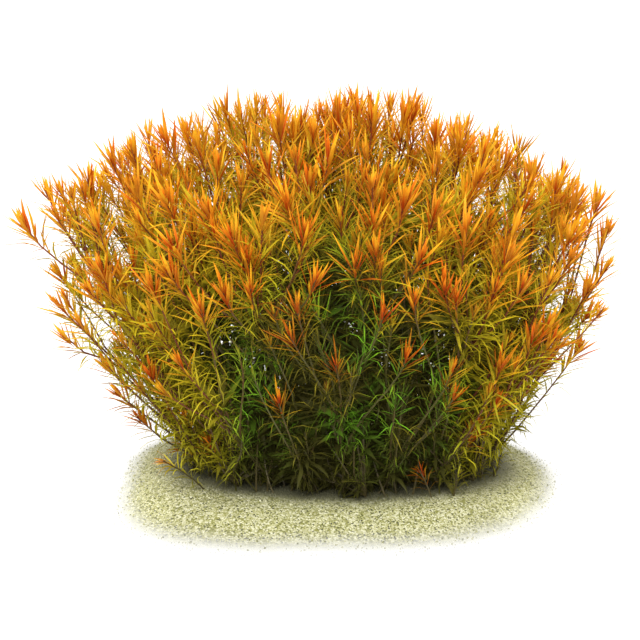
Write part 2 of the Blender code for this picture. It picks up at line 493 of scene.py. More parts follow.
# %% [markdown]
# ## The dome
# As a whole the bush is a dome: round on top, with a broad shoulder, drawn in towards the sand
# like a skirt, and swollen on its left and right. Nothing of it is modelled as a surface. A
# formula says how far it reaches in each direction, and the shoots below ask it where to end.
# The planted stems of the solids end on the same dome.

# %% The dome
DOME_RADIUS = 0.210
DOME_SHOULDER = 0.024
DOME_DEPTH_SHARE = 0.74
CROWN_SHIFT_X = -0.014
SKIRT_RADIUS = 0.084
SKIRT_LEANS = (math.radians(40), math.radians(80))
SIDE_SWELL = 0.10
SWELL_LEAN = math.radians(60)
SWELL_SPAN = math.radians(8)


def dome_radius(lean):
    """How far the dome's surface is from the middle of the bed, in the direction of this lean."""
    shoulder = DOME_RADIUS + DOME_SHOULDER * np.sin(lean) ** 2
    return blend(shoulder, SKIRT_RADIUS, ramp(lean, *SKIRT_LEANS))


def side_swell(lean, azimuth):
    """How much further the bush reaches out here: it bulges on its left and right above the skirt."""
    return 1 + SIDE_SWELL * np.exp(-(((lean - SWELL_LEAN) / SWELL_SPAN) ** 2)) * np.abs(np.cos(azimuth))


def dome_point(lean, azimuth, reach):
    """The place a shoot of this lean and azimuth reaches, at a share of the dome's radius."""
    radius = dome_radius(lean) * reach
    rise = radius * np.cos(lean)
    x = radius * np.sin(lean) * np.cos(azimuth) + CROWN_SHIFT_X * rise / DOME_RADIUS
    y = radius * np.sin(lean) * np.sin(azimuth) * DOME_DEPTH_SHARE
    return np.stack([x, y, rise + BED_THICKNESS], axis=-1)


def dome_depth(places):
    """How far places are from the middle of the bush, and how far the dome's surface is that way."""
    up = places[:, 2] - BED_THICKNESS
    out = np.hypot(places[:, 0], places[:, 1] / DOME_DEPTH_SHARE)
    return np.hypot(out, up), dome_radius(np.arctan2(out, up))


print("the crown of the dome is at", dome_point(0.0, 0.0, 1.0).round(3))

# %% [markdown]
# ## Light in the bush
# Rotala colours up where it gets light: the top and the outside are gold, the foot and the inside
# green. A renderer's light can't be asked for that beforehand, so a rule estimates it. A place is
# in the light if it is high or far out to the side, and less so the deeper it lies inside the
# dome. Low down at the far left and right light comes in past the bush, and the rule adds it. The
# leaves' colours take painted shade and painted light from this rule as well: darker inside the
# bush and at its foot, brighter low down at the far left and right.

# %% Light in the bush
LIT_HEIGHTS = (0.078, 0.228)
SIDE_GAIN = 0.80
FRONT_LOSS = 0.30
SIDE_LIGHT = 0.84
SIDE_LIGHT_LOSS = 1.5
SIDE_DISTANCES = (0.044, 0.080)
SIDE_HEIGHTS = (0.008, 0.048)
OUTER_SHARES = (0.52, 0.88)
INMOST_LIGHT = 0.25


def light_at(places):
    """0 low down or deep inside the bush, 1 at its sunny outside."""
    across, along, height = np.abs(places[:, 0]), np.abs(places[:, 1]), places[:, 2]
    above = ramp(height + SIDE_GAIN * across - FRONT_LOSS * along, *LIT_HEIGHTS)
    at_side = ramp(across, *SIDE_DISTANCES) * ramp(height, *SIDE_HEIGHTS)
    # This light brightens the leaves' colours low down at the far left and right: painted light.
    beside = (SIDE_LIGHT - SIDE_LIGHT_LOSS * height) * at_side
    reach, surface = dome_depth(places)
    return np.maximum(above, beside) * blend(INMOST_LIGHT, 1.0, ramp(reach / surface, *OUTER_SHARES))


crown_and_foot = dome_point(np.array([0.0, SKIRT_LEANS[1]]), 1.5 * math.pi, 1.0)
print("light on the crown and at the foot in front:", light_at(crown_and_foot).round(2))

# %% [markdown]
# ## The planted stems' fan
# Planted stems stand close in the sand and lean out more the nearer they are to the edge. Even
# spacing in rows would show from above, and pure chance leaves holes. A golden-angle spiral, the
# pattern of a sunflower's seeds, does neither: drawn over an oval patch it gives the roots, and
# drawn over the dome the tips. The solids follow this rule, and the leaves have to sit on the same
# lines, so the cell repeats it with the same numbers and the same seeded strays.

# %% The fan
STEM_COUNT = 56
PATCH_HALF_WIDTH = 0.087
PATCH_HALF_DEPTH = 0.054
WIDEST_LEAN = math.radians(79)
LEAN_POWER = 1.2
FIRST_AZIMUTH = math.radians(105)
GOLDEN_ANGLE = math.pi * (3 - math.sqrt(5))
LAYOUT_SEED = 12
ROOT_STRAY = 0.0025
AZIMUTH_STRAY = math.radians(5)
LEAN_STRAY = math.radians(2.5)
STEM_REACH = (0.93, 1.03)
STEM_SAG = 0.07
UP = np.array([0.0, 0.0, 1.0])


def spiral(number, count):
    """How far out, from 0 to 1, and in which direction a numbered place of the spiral lies."""
    return math.sqrt((number + 0.5) / count), number * GOLDEN_ANGLE


def planted_stem(number, stray):
    """The lean, root and tip of one planted stem, and how far its middle sags."""
    spread, turn = spiral(number, STEM_COUNT)
    azimuth = FIRST_AZIMUTH + turn
    x = PATCH_HALF_WIDTH * spread * math.cos(azimuth) + stray.uniform(-ROOT_STRAY, ROOT_STRAY)
    y = PATCH_HALF_DEPTH * spread * math.sin(azimuth) + stray.uniform(-ROOT_STRAY, ROOT_STRAY)
    azimuth += stray.uniform(-AZIMUTH_STRAY, AZIMUTH_STRAY)
    lean = WIDEST_LEAN * spread**LEAN_POWER + stray.uniform(-LEAN_STRAY, LEAN_STRAY)
    tip = dome_point(lean, azimuth, side_swell(lean, azimuth) * stray.uniform(*STEM_REACH))
    root = np.array([x, y, float(sand_height(x, y))])
    sag = STEM_SAG * np.linalg.norm(tip - root) * math.sin(lean)
    return {"number": number, "lean": lean, "root": root, "tip": tip, "sag": sag}


layout_stray = random.Random(LAYOUT_SEED)
plants = [planted_stem(number, layout_stray) for number in range(STEM_COUNT)]
print(len(plants), "planted stems, the tallest", round(max(plant["tip"][2] for plant in plants), 3), "m")

# %% [markdown]
# ## Shoots as curves
# A shoot is a stem with its leaves. A Blender curve could draw its line, but leaves have to be
# placed along it by the thousand, so the line is a row of points in numpy, sampled once. All that
# is on it is placed by the distance back from its tip, because that distance is a leaf's age: the
# plant grows at the tip. How strongly a shoot grows, how red its tip may blush and how wide its
# rosette's leaves are belong to the shoot too.

# %% Shoot curves
CURVE_SAMPLES = 72
FULL_TURN = 6.28
DIRECTION_STEP = 0.0015
PETALS = 0.24
GROWTH_SEED = 2027
draw = np.random.default_rng(GROWTH_SEED)


def unit(vectors):
    return vectors / np.linalg.norm(vectors, axis=-1, keepdims=True)


def curve_through(controls, end=1.0):
    """Points along the Bezier curve of these control points."""
    share = np.linspace(0.0, end, CURVE_SAMPLES)[:, None]
    levels = [np.broadcast_to(point, (CURVE_SAMPLES, 3)) for point in controls]
    while len(levels) > 1:
        levels = [blend(first, second, share) for first, second in zip(levels, levels[1:])]
    return levels[0]


def bowed(root, tip, bow, end=1.0):
    """A curve from root to tip with its middle pushed aside by the bow."""
    return curve_through([root, (root + tip) / 2 + bow, tip], end)


class Shoot:
    """A leafy shoot: its line, its thickness at root and tip, and how strongly it grows."""

    def __init__(self, points, vigour, radii, bare=0.0, blush=1.0, inner=False, petals=PETALS):
        steps = np.linalg.norm(np.diff(points, axis=0), axis=1)
        self.points = points
        self.run = np.concatenate([[0.0], np.cumsum(steps)])
        self.length = self.run[-1]
        self.vigour = vigour
        self.root_radius, self.tip_radius = radii
        self.bare = bare
        self.blush = blush
        self.inner = inner
        self.petals = petals
        self.tint = draw.random()

    def at(self, behind):
        """Places at these distances back from the tip."""
        run = self.length - np.asarray(behind)
        return np.stack([np.interp(run, self.run, self.points[:, axis]) for axis in range(3)], axis=-1)

    def direction(self, behind):
        behind = np.asarray(behind)
        return unit(self.at(behind - DIRECTION_STEP) - self.at(behind + DIRECTION_STEP) + 1e-9)


print("a shoot's line has", CURVE_SAMPLES, "points")

# %% [markdown]
# ## The main stems
# Each planted stem is the first shoot of its plant. Real stems are never quite straight, so the
# line wanders sideways in two slow waves that fade out at the root. The outermost stems lie low:
# they are cut a little shorter, and their tips get less light and blush less.

# %% Main stems
MAIN_RADII = (0.00080, 0.00055)
MAIN_STEM_END = 0.955
LOW_STEM_CUT = 0.26
LOW_STEM_PALING = 0.85
OUTER_FROM = math.radians(56)
WANDER_FADE = 0.25


def wander(points, size, waves):
    """The same line with slow sideways strays, none at its root."""
    share = np.linspace(0, 1, len(points))
    ahead = unit(points[-1] - points[0])
    side = unit(np.cross(ahead, [0.31, 0.72, 0.61]))
    other = np.cross(ahead, side)
    fade = ramp(share, 0, WANDER_FADE)
    first = np.sin(share * waves + draw.uniform(0, FULL_TURN)) * fade
    second = np.sin(share * waves * 0.8 + draw.uniform(0, FULL_TURN)) * fade
    return points + size * (first[:, None] * side + second[:, None] * other)


for plant in plants:
    outer = plant["lean"] - OUTER_FROM
    end = MAIN_STEM_END - LOW_STEM_CUT * ramp(outer, 0, 0.3)
    line = bowed(plant["root"], plant["tip"], -UP * plant["sag"], end)
    plant["axis"] = wander(line, size=0.0012, waves=7.0)
    blush = 1 - LOW_STEM_PALING * ramp(outer, 0, 0.2)
    plant["shoots"] = [Shoot(plant["axis"], draw.uniform(0.95, 1.1), MAIN_RADII, blush=blush)]
print("main stems from", round(min(plant["shoots"][0].length for plant in plants), 3), "m long")

# %% [markdown]
# ## Shoots that branch off
# A trimmed bush branches. Each side shoot belongs to the planted stem whose tip is nearest to its
# own, and leaves that stem far enough back to part from it at a natural angle. It bends up a
# little on its way, because shoots turn to the light.

# %% A side shoot
SIDE_RADII = (0.00062, 0.00048)
SIDE_BARE = 0.006
FORK_DISTANCE = 1.35
DEEPEST_FORK = 0.86
STEM_PULL = 0.4
UPTURN = 0.35
stem_tips = np.array([plant["tip"] for plant in plants])


def side_shoot(plant, tip, vigour, blush, petals):
    """A shoot that leaves the plant's stem low enough to reach this tip at an easy angle."""
    main = plant["shoots"][0]
    gap = np.linalg.norm(tip - plant["tip"])
    behind = min(gap * FORK_DISTANCE + draw.uniform(0.018, 0.045), main.length * DEEPEST_FORK)
    start = main.at(behind)
    span = np.linalg.norm(tip - start)
    final = unit(unit(tip - start) + unit(plant["tip"] - plant["root"]) * STEM_PULL + UP * UPTURN)
    controls = [start, start + main.direction(behind) * span * 0.30, tip - final * span * 0.34, tip]
    line = wander(curve_through(controls), size=0.0010, waves=6.0)
    return Shoot(line, vigour, SIDE_RADII, SIDE_BARE, blush, petals=petals)


def branch_to(tip, vigour, blush, petals=PETALS):
    """Adds a side shoot with this tip to the planted stem that is nearest."""
    owner = plants[int(np.linalg.norm(stem_tips - tip, axis=1).argmin())]
    owner["shoots"].append(side_shoot(owner, tip, vigour, blush, petals))


print("a side shoot is", round(SIDE_RADII[1] * 2000, 2), "mm thick at its tip")

# %% [markdown]
# ## The shoots that catch the eye
# Some rosettes stand out in the picture, and they were measured in it: how far right of the
# picture's middle they are and how far above it, in millimetres. One view gives no depth. A
# rosette on the front of the dome is where the line of sight meets the dome, so this cell lays a
# grid over the dome's front and takes the grid point that is seen nearest to the measured place.
# What is left over moves the rosette beyond the dome, as the longest sprays are.

# %% Measured shoots
MEASURED = (
    (-153, 72), (-166, 55), (-146, 27), (-124, 28), (-125, 56), (-86, 66), (-105, 71), (-96, 19),
    (-86, 27), (-130, 79), (-143, -9), (-117, 90), (-104, 96), (-88, 101), (-75, 106), (11, 116),
    (29, 113), (48, 113), (-49, 47), (-55, 16), (-38, 18), (-14, 9), (-3, 23), (18, 32), (-7, 49),
    (31, 38), (35, 4), (-20, 67), (-67, 6), (30, 74), (-17, -8), (-62, 62), (66, 62), (48, 67),
    (56, 35), (83, 51), (106, 36), (114, 19), (141, 34), (162, 49), (152, 18), (154, 5),
    (145, -15), (120, -8), (130, -2), (54, 12), (70, 18), (76, 13), (101, -24), (129, -22),
    (74, -27), (48, -20), (76, -43), (99, -45), (89, -60), (-23, -45), (-64, -68), (-97, -30),
    (-120, -24), (-75, -67), (-82, 44), (-30, 88), (90, 80), (118, 66), (5, 92), (63, 105), (78, 99),
    (92, 93), (105, 89), (119, 83), (132, 75), (144, 68), (157, 66), (110, 52), (140, 47), (-25, 108),
    (-113, -41), (-103, -56),
)
GRID_LEANS = np.radians(np.linspace(2, 84, 83))
GRID_AZIMUTHS = np.radians(np.linspace(180, 360, 121))
GRID_REACH = 0.98
WIDE_PETALS = 0.40


def as_seen(places):
    """How far right of and above the middle of the picture places are seen, in metres."""
    down, back = math.sin(CAMERA_ELEVATION), math.cos(CAMERA_ELEVATION)
    off = places - np.array(CAMERA_AIM)
    away = CAMERA_DISTANCE + off[..., 1] * back - off[..., 2] * down
    above = off[..., 2] * back + off[..., 1] * down
    return np.stack([off[..., 0], above], axis=-1) * (CAMERA_DISTANCE / away)[..., None]


def measured_tips():
    lean, azimuth = np.meshgrid(GRID_LEANS, GRID_AZIMUTHS, indexing="ij")
    grid = dome_point(lean, azimuth, GRID_REACH).reshape(-1, 3)
    seen = as_seen(grid)
    found = []
    for measured in np.array(MEASURED) / 1000:
        nearest = int(np.linalg.norm(seen - measured, axis=1).argmin())
        right, above = measured - seen[nearest]
        found.append(grid[nearest] + np.array([right, 0.0, above / math.cos(CAMERA_ELEVATION)]))
    return np.array(found)


eye_tips = measured_tips()
for tip in eye_tips:
    branch_to(tip, draw.uniform(0.95, 1.10), draw.uniform(0.95, 1.30), WIDE_PETALS)
print(len(eye_tips), "measured shoots")

# %% [markdown]
# ## Side shoots
# The dome needs a rosette about every two centimetres, so a second, finer golden spiral gives the
# tips of all the other side shoots. Two in five end deeper inside, where they close the gaps. On
# the left and the right they reach out further than in front, and below the shoulder only a third
# of them are kept, because there the bush is stems and long leaves rather than tips.

# %% Side shoots
SIDE_SHOOTS = 848
SIDE_AZIMUTH = math.radians(31)
SIDE_AZIMUTH_STRAY = 0.06
SIDE_LEAN_STRAY = 0.05
INNER_SHARE = 0.41
INNER_REACH = (0.60, 0.88)
OUTER_REACH = (0.88, 0.99)
CLOSEST_TO_STEM = 0.008
CLOSEST_TO_MEASURED = 0.010
WING = 0.05
LOW_TUCK = 0.24
LOW_TUCK_FROM = math.radians(65)
THINNED_FROM = math.radians(45)
THINNED_KEPT = 0.36
SHADE_BLUSH = 0.15


def side_tip(number):
    spread, turn = spiral(number, SIDE_SHOOTS)
    azimuth = SIDE_AZIMUTH + turn + draw.uniform(-SIDE_AZIMUTH_STRAY, SIDE_AZIMUTH_STRAY)
    lean = WIDEST_LEAN * spread**LEAN_POWER + draw.uniform(-SIDE_LEAN_STRAY, SIDE_LEAN_STRAY)
    lean = abs(min(lean, WIDEST_LEAN))
    reach = draw.uniform(*(INNER_REACH if draw.random() < INNER_SHARE else OUTER_REACH))
    wing = side_swell(lean, azimuth) + WING * math.sin(lean) ** 2 * abs(math.cos(azimuth))
    tuck = 1 - LOW_TUCK * ramp(lean - LOW_TUCK_FROM, 0, 0.15)
    return lean, dome_point(lean, azimuth, reach * wing * tuck)


for number in range(SIDE_SHOOTS):
    lean, tip = side_tip(number)
    if lean > THINNED_FROM and draw.random() > THINNED_KEPT:
        continue
    to_stem = np.linalg.norm(stem_tips - tip, axis=1).min()
    to_measured = np.linalg.norm(eye_tips - tip, axis=1).min()
    if to_stem > CLOSEST_TO_STEM and to_measured > CLOSEST_TO_MEASURED:
        blush = draw.uniform(0.5, 1.1) * blend(SHADE_BLUSH, 1.0, float(light_at(tip[None])[0]))
        branch_to(tip, draw.uniform(0.74, 1.0), blush)
print(sum(len(plant["shoots"]) for plant in plants), "shoots on", len(plants), "stems")

# %% [markdown]
# ## Shoots from the foot
# Low down the bush is stems rather than tips: from the roots of the outer plants long shoots rise
# almost upright and only then lean out, with thin arching leaves all the way. Three small shoots
# also stand in front of the bush on their own. They were measured in the photo like the rosettes,
# and each belongs to the plant whose root is nearest.

# %% Risers
RISER_FROM_LEAN = math.radians(52)
RISERS = 4
RISER_RADII = (0.00072, 0.00048)
RISER_BARE = 0.004
LONE_RADII = (0.0005, 0.0004)
LONE_BOW = 0.004
LONE_SHOOTS = (
    ((-0.074, -0.040, 0.012), (-0.097, -0.055, 0.036), 0.6),
    ((0.049, -0.054, 0.012), (0.041, -0.058, 0.032), 1.1),
    ((0.060, -0.052, 0.012), (0.063, -0.058, 0.030), 0.3),
)


def riser(plant):
    main = plant["shoots"][0]
    start = main.at(main.length * draw.uniform(0.86, 0.97))
    azimuth = math.atan2(plant["tip"][1] / DOME_DEPTH_SHARE, plant["tip"][0])
    azimuth += draw.uniform(-0.16, 0.16)
    tip = dome_point(math.radians(draw.uniform(36, 62)), azimuth, draw.uniform(0.84, 0.97))
    span = np.linalg.norm(tip - start)
    outward = unit((tip - start) * [1, 1, 0])
    upright = start + UP * span * 0.42 + outward * span * 0.04
    leaning = tip - outward * span * 0.16 - UP * span * 0.26
    line = wander(curve_through([start, upright, leaning, tip]), size=0.0014, waves=7.0)
    return Shoot(line, draw.uniform(0.85, 1.0), RISER_RADII, RISER_BARE, draw.uniform(0.1, 0.7))


def nearest_plant(root):
    roots = np.array([plant["root"] for plant in plants])
    return plants[int(np.linalg.norm(roots - root, axis=1).argmin())]


def lone_shoot(root, tip, blush):
    return Shoot(bowed(np.array(root), np.array(tip), UP * LONE_BOW), 0.85, LONE_RADII, 0.006, blush)


for plant in plants:
    if plant["lean"] > RISER_FROM_LEAN:
        plant["shoots"].extend(riser(plant) for _ in range(RISERS))
for root, tip, blush in LONE_SHOOTS:
    nearest_plant(root)["shoots"].append(lone_shoot(root, tip, blush))
print(sum(len(plant["shoots"]) for plant in plants), "shoots with those from the foot")

# %% [markdown]
# ## Low shoots and inner twigs
# Close above the roots of the outer stems a few small green shoots grow up. Inside the bush, in
# the shade of everything else, every stem has leafy twigs. Nobody looks at one of them, but
# without them the white background would shine through the bush. A dark sheet would hide it as
# well, and would show at every gap as what it is.

# %% Low shoots and inner twigs
LOW_FROM_LEAN = math.radians(54)
LOW_CHANCE = 0.35
LOW_RADII = (0.0006, 0.00045)
LOW_BARE = 0.002
TWIGS = 6
TWIG_TRIES = 6
TWIG_INSET = 0.036
TWIG_LOWEST = 0.030
TWIG_RADII = (0.0006, 0.0005)
TWIG_VIGOUR = 1.25


def low_shoot(plant):
    main = plant["shoots"][0]
    start = main.at(main.length * draw.uniform(0.55, 0.95))
    outward = unit(np.array([start[0], start[1], 0.0]) + draw.normal(0, 0.02, 3) * [1, 1, 0])
    span = draw.uniform(0.020, 0.045)
    rise = UP * span * draw.uniform(0.7, 1.0)
    tip = start + outward * span * draw.uniform(0.05, 0.40) + rise
    line = curve_through([start, start + outward * span * 0.3, tip - rise * 0.3, tip])
    return Shoot(line, draw.uniform(0.6, 0.85), LOW_RADII, LOW_BARE, draw.uniform(0.0, 0.5))


def twig(line):
    return Shoot(line, TWIG_VIGOUR, TWIG_RADII, blush=0.0, inner=True)


def inner_twig(plant):
    """A leafy twig well inside the bush, or None if chance finds no place for one."""
    main = plant["shoots"][0]
    for _ in range(TWIG_TRIES):
        behind = main.length * draw.uniform(0.22, 0.92)
        start, ahead = main.at(behind), main.direction(behind)
        sideways = unit(draw.normal(0, 1, 3)) * np.array([1, 1, 0.3])
        tip = start + (ahead * 0.6 + sideways * 0.8) * draw.uniform(0.022, 0.040)
        tip[2] = max(tip[2], TWIG_LOWEST)
        reach, surface = dome_depth(tip[None])
        if reach[0] < surface[0] - TWIG_INSET:
            return twig(curve_through([start, start + ahead * 0.010, tip]))
    return None


for plant in plants:
    if plant["lean"] > LOW_FROM_LEAN and draw.random() < LOW_CHANCE:
        plant["shoots"].append(low_shoot(plant))
    twigs = [inner_twig(plant) for _ in range(TWIGS)]
    plant["shoots"].extend(found for found in twigs if found)
print(sum(len(plant["shoots"]) for plant in plants), "shoots with the low ones and the inner twigs")

# %% [markdown]
# ## A leafy screen and a thicket
# Chance leaves gaps between the inner twigs that line up with each other. A last golden spiral
# closes them: it spreads twigs evenly over a smaller dome inside the first, each from the nearest
# stem. All round the planted patch small dark shoots stand in the sand, so that the bush rises
# from a thicket and not from bare stalks.

# %% Screen twigs and thicket
SCREEN_TWIGS = 240
SCREEN_LEAN = math.radians(84)
SCREEN_REACH = (0.58, 0.74)
SCREEN_SIDE = 0.10
SCREEN_TWIG_LENGTH = 0.028
THICKET_SHOOTS = 120
THICKET_RADII = (0.0006, 0.0004)
THICKET_SUNK = 0.002
BOW_STRAY = 0.003


def add_screen_twig(number):
    """Adds one twig of the screen to the planted stem that passes nearest to its start."""
    spread, azimuth = spiral(number, SCREEN_TWIGS)
    lean = SCREEN_LEAN * spread
    reach = draw.uniform(*SCREEN_REACH) + SCREEN_SIDE * abs(math.cos(azimuth)) * math.sin(lean) ** 2
    tip = dome_point(lean, azimuth, reach)
    wish = tip - unit(tip) * SCREEN_TWIG_LENGTH
    gaps = np.linalg.norm(stem_lines - wish, axis=2)
    owner, step = np.unravel_index(gaps.argmin(), gaps.shape)
    start = stem_lines[owner, step]
    plants[owner]["shoots"].append(twig(bowed(start, tip, draw.normal(0, BOW_STRAY, 3))))


def thicket_shoot(number):
    """One of the small dark shoots that stand all round the edge of the planted patch."""
    _, azimuth = spiral(number, THICKET_SHOOTS)
    share = draw.uniform(0.70, 1.04)
    x = PATCH_HALF_WIDTH * share * math.cos(azimuth)
    y = PATCH_HALF_DEPTH * share * math.sin(azimuth)
    root = np.array([x, y, float(sand_height(x, y)) - THICKET_SUNK])
    tip = root + np.array([draw.normal(0, 0.006), draw.normal(0, 0.006), draw.uniform(0.018, 0.050)])
    line = bowed(root, tip, draw.normal(0, BOW_STRAY, 3))
    return Shoot(line, 0.74, THICKET_RADII, 0.003, 0.0)


stem_lines = np.stack([plant["axis"] for plant in plants])
for number in range(SCREEN_TWIGS):
    add_screen_twig(number)
for number in range(THICKET_SHOOTS):
    shoot = thicket_shoot(number)
    nearest_plant(shoot.points[0])["shoots"].append(shoot)
print(sum(len(plant["shoots"]) for plant in plants), "shoots with the screen and the thicket")

# %% [markdown]
# ## One leaf
# A leaf is a narrow blade, pointed at the end, widest before its middle, folded a little along
# its midrib and arched. A flat card would vanish when seen edge on, so each blade is a thin closed
# form: three vertices round, the two edges and the midrib, which stands out above the blade on
# some leaves and below it on others. The leaves that are seen best have the most rings.
# All leaves of one kind are computed at once in numpy, which takes seconds instead of minutes.

# %% Leaf blades
BLADES = {
    "fine": (np.array([0.0, 0.24, 0.55, 0.83]), np.array([0.34, 0.92, 0.96, 0.46])),
    "plain": (np.array([0.0, 0.36, 0.74]), np.array([0.40, 1.0, 0.66])),
    "rough": (np.array([0.0, 0.50]), np.array([0.50, 1.0])),
}
SECTION = 3
LEAST_BEND = 1e-3


def band_faces(rings, sides):
    """The triangles between rings of vertices that are stacked along a line."""
    here = np.arange(rings - 1)[:, None] * sides + np.arange(sides)
    after = np.arange(rings - 1)[:, None] * sides + (np.arange(sides) + 1) % sides
    return np.concatenate([
        np.stack([here, after, after + sides], axis=-1).reshape(-1, 3),
        np.stack([here, after + sides, here + sides], axis=-1).reshape(-1, 3),
    ])


def blade_faces(rings):
    """Triangles of one blade: its end, the skin between its rings of three, and its point."""
    last = SECTION * (rings - 1)
    point = [(last + corner, last + SECTION, last + (corner + 1) % SECTION) for corner in range(SECTION)]
    return np.concatenate([[(0, 1, 2)], band_faces(rings, SECTION)[:, ::-1], point])


def blade_spine(leaf, share):
    """Points along the middle of each leaf, and the directions to its right and its top there."""
    ahead, face = leaf["ahead"][:, None], leaf["face"][:, None]
    side = np.cross(ahead, face)
    length, bend, twist, sway = [leaf[name][:, None, None] for name in ("length", "bend", "twist", "sway")]
    arc = np.where(np.abs(bend) < LEAST_BEND, LEAST_BEND, bend)
    forward = length * np.sin(arc * share) / arc
    drop = length * (1 - np.cos(arc * share)) / arc
    spine = leaf["base"][:, None] + forward * ahead - drop * face + sway * length * share**2 * side
    up = np.sin(bend * share) * ahead + np.cos(bend * share) * face
    right = np.cos(twist * share) * side + np.sin(twist * share) * up
    top = np.cos(twist * share) * up - np.sin(twist * share) * side
    return spine, right, top


def blades(kind, leaf):
    """Vertices, triangles and the along and across numbers for a batch of leaves."""
    share, half_width = BLADES[kind]
    count = len(leaf["base"])
    spine, right, top = blade_spine(leaf, np.append(share, 1.0)[:, None])
    half = (leaf["width"][:, None] * 0.5 * half_width)[..., None]
    fold = leaf["fold"][:, None, None]
    rings, right, top = spine[:, :-1], right[:, :-1], top[:, :-1]
    rib = rings + top * half * fold
    edges = [rings - right * half, rings + right * half]
    first, last = np.where(fold > 0, edges[1], edges[0]), np.where(fold > 0, edges[0], edges[1])
    section = np.stack([first, rib, last], axis=2).reshape(count, -1, 3)
    vertices = np.concatenate([section, spine[:, -1:]], axis=1)
    per_leaf = vertices.shape[1]
    faces = blade_faces(len(share))[None] + (np.arange(count) * per_leaf)[:, None, None]
    along = np.tile(np.append(np.repeat(share, SECTION), 1.0), count)
    across = np.tile(np.append(np.tile([1.0, 0.0, 1.0], len(share)), 0.5), count)
    return vertices.reshape(-1, 3), faces.reshape(-1, 3), along, across, per_leaf


print({kind: len(blade_faces(len(shape[0]))) for kind, shape in BLADES.items()}, "triangles a leaf")

# %% [markdown]
# ## Whorls
# Rotala sets three or four leaves at each node of its stem, and the next whorl is turned to fill
# the gaps. Near the tip the nodes are close and the leaves stand almost along the stem, which
# makes the rosette. Further back they spread and turn up towards the light, and the oldest have
# partly fallen. Instancing one whorl along a stem would be quick, but every whorl would then be
# the same, so each leaf gets a place and a direction of its own.

# %% Whorls
NODE_GAP_TIP = 0.0025
NODE_GAP_GROWN = 0.0054
NODE_GAP_RUN = 0.034
FIRST_NODE = 0.0006
DEEPEST_LEAF = 0.22
INNER_STRETCH = 1.4
LEAVES_A_NODE = (3, 3, 4, 4)
WHORL_TURN = 0.80
FALLEN = 0.52
FALLEN_RUN = (0.045, 0.105)
GROWING_RUN = 0.014
SPREAD_YOUNG = 9
SPREAD_MORE = 56
LIGHT_PULL = 0.28
LIGHT_PULL_RUN = 0.02
STEM_HINT = [0.28, 0.67, 0.69]


def node_places(length, bare, stretch=1.0):
    """Distances back from the tip of a shoot's whorls."""
    places = []
    behind = FIRST_NODE
    while behind < min(length - bare, DEEPEST_LEAF):
        places.append(behind)
        gap = blend(NODE_GAP_TIP, NODE_GAP_GROWN, ramp(behind, 0, NODE_GAP_RUN))
        behind += gap * stretch * draw.uniform(0.85, 1.15)
    return np.array(places)


def whorl_leaves(shoot):
    """How far back each leaf of a shoot sits, and its direction round the stem."""
    nodes = node_places(shoot.length, shoot.bare, INNER_STRETCH if shoot.inner else 1.0)
    counts = draw.choice(LEAVES_A_NODE, size=len(nodes))
    behind = np.repeat(nodes, counts)
    spin = np.concatenate([np.arange(count) * (2 * math.pi / count) for count in counts])
    spin = spin + np.repeat(np.arange(len(nodes)) * WHORL_TURN + draw.uniform(0, FULL_TURN), counts)
    spin = spin + draw.normal(0, 0.16, len(spin))
    keep = draw.random(len(behind)) < 1 - FALLEN * ramp(behind, *FALLEN_RUN)
    return behind[keep], spin[keep]


def grown_share(behind):
    """0 for the leaf at the very tip and nearly 1 for those that are fully grown."""
    return 1 - np.exp(-behind / GROWING_RUN)


def leaf_directions(shoot, behind, spin):
    """Where each leaf points out from its stem, where it goes, and where its upper face looks."""
    axis = shoot.direction(behind)
    side = unit(np.cross(axis, STEM_HINT))
    other = np.cross(axis, side)
    outward = side * np.cos(spin)[:, None] + other * np.sin(spin)[:, None]
    grown = grown_share(behind)
    wobble = draw.normal(0, 0.14, len(behind)) * (0.4 + grown)
    spread = np.radians(SPREAD_YOUNG + SPREAD_MORE * grown) + wobble
    ahead = axis * np.cos(spread)[:, None] + outward * np.sin(spread)[:, None]
    ahead = unit(ahead + UP * (LIGHT_PULL * ramp(behind, 0, LIGHT_PULL_RUN))[:, None])
    face = across_to(axis * 0.7 + UP * 0.5, ahead) + draw.normal(0, 0.10, ahead.shape)
    return outward, ahead, unit(across_to(unit(face), ahead))


def across_to(vectors, ahead):
    """What is left of vectors without their part along ahead."""
    return vectors - ahead * np.sum(vectors * ahead, axis=1, keepdims=True)


print("a 120 mm shoot has", len(node_places(0.12, 0.0)), "whorls")

# %% [markdown]
# ## The size and shape of each leaf
# The leaves of a rosette are short, then broad like petals, and further back long and narrow.
# Grown leaves arch over and hang, most of all near the sand. Shoots high on the bush have the
# largest leaves and keep them young for longer. A few ramps and some chance give every leaf its
# measures, and the same numbers that shape it go to its finish.

# %% Leaf measures
LEAF_LENGTH = 0.0220
LEAF_WIDTH = 0.00165
FOLD = 0.40
YOUNG_RUN_LOW = 0.0120
YOUNG_RUN_TOP = 0.0185
LOW_HEIGHTS = (0.085, 0.025)
TOP_HEIGHTS = (0.10, 0.18)
OUTER_DISTANCES = (0.10, 0.15)
OLD_RUN = (0.016, 0.050)
NEW_SIZE = 0.36
OLD_SIZE = 0.66
LOW_SIZE = 0.80
LOW_SHOOT_SIZE = 0.84
OUTER_SIZE = 0.88
INNER_WIDTH = 1.45
SLIM_WIDTH = 0.68
SHADE_WIDTH = 0.66
OLD_WIDTH = 0.70
ROSETTE_RUN = 0.014
# A lower tone for the inner twigs' leaves, which paints them darker: painted shade.
INNER_SHADE_TONE = 0.4


